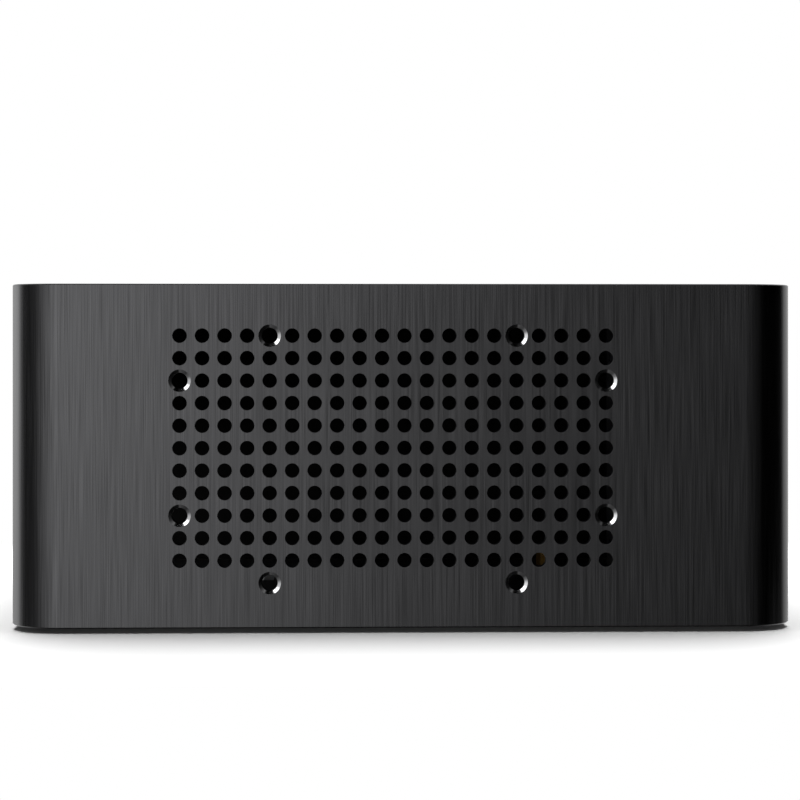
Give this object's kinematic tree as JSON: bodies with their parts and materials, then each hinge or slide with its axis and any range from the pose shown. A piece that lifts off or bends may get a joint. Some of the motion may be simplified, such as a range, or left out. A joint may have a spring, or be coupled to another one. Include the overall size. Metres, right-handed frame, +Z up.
{
  "type": "mini-itx case",
  "caption": "Small desktop case: an upright extruded ring with rounded corners and one perforated side, flush plates, a rear socket opening and a front power button.",
  "frame": {"origin": "middle of the footprint, on the surface under the feet", "axes": "+X towards the front with the power button, -Y towards the vented side, +Z up"},
  "size_m": [0.229, 0.21, 0.101],
  "materials": {
    "anodised_aluminium": "brushed upright and anodised black",
    "coated_steel": "black powder coat, fine texture",
    "black_screw": "black oxide",
    "zinc_steel": "bright zinc plate",
    "brass": "turned",
    "rubber": "matt",
    "black_plastic": "moulded, matt",
    "circuit_board": "solder mask over laminate",
    "nickel_shell": "nickel plate",
    "gold_contact": "plated",
    "switch_metal": "turned and anodised black",
    "light_ring": "clear moulding, frosted"
  },
  "bodies": {
    "case": {"shell": "anodised_aluminium", "top_cover": "anodised_aluminium", "top_cover_screws": "black_screw", "base_plate": "coated_steel", "base_plate_screws": "black_screw", "foot_front_left": "rubber", "foot_front_right": "rubber", "foot_rear_left": "rubber", "foot_rear_right": "rubber", "board_standoffs": "brass", "rear_panel": "coated_steel", "rear_panel_screws": "black_screw", "rear_panel_nuts": "zinc_steel", "antenna_plug_left": "black_plastic", "antenna_plug_right": "black_plastic", "power_inlet_plug": "black_plastic", "drive_bracket": "coated_steel", "drive_bracket_screws": "black_screw", "front_io_bracket": "zinc_steel", "front_io_bracket_screws": "black_screw", "front_io_board": "circuit_board", "front_io_board_screws": "zinc_steel", "front_io_header": "black_plastic", "usb_shell_left": "nickel_shell", "usb_shell_right": "nickel_shell", "usb_insert_left": "black_plastic", "usb_insert_right": "black_plastic", "usb_contacts_left": "gold_contact", "usb_contacts_right": "gold_contact", "power_switch_body": "switch_metal", "power_light_ring": "light_ring", "power_switch_nut": "nickel_shell", "power_switch_terminals": "gold_contact"},
    "button": {"power_button": "switch_metal"}
  },
  "joints": [
    {"name": "power_button_press", "type": "slide", "parent": "case", "child": "button", "axis": [-1, 0, 0], "range_m": [0, 0.0015], "stiffness_N_per_m": 1500, "springref_m": -0.0005}
  ]
}
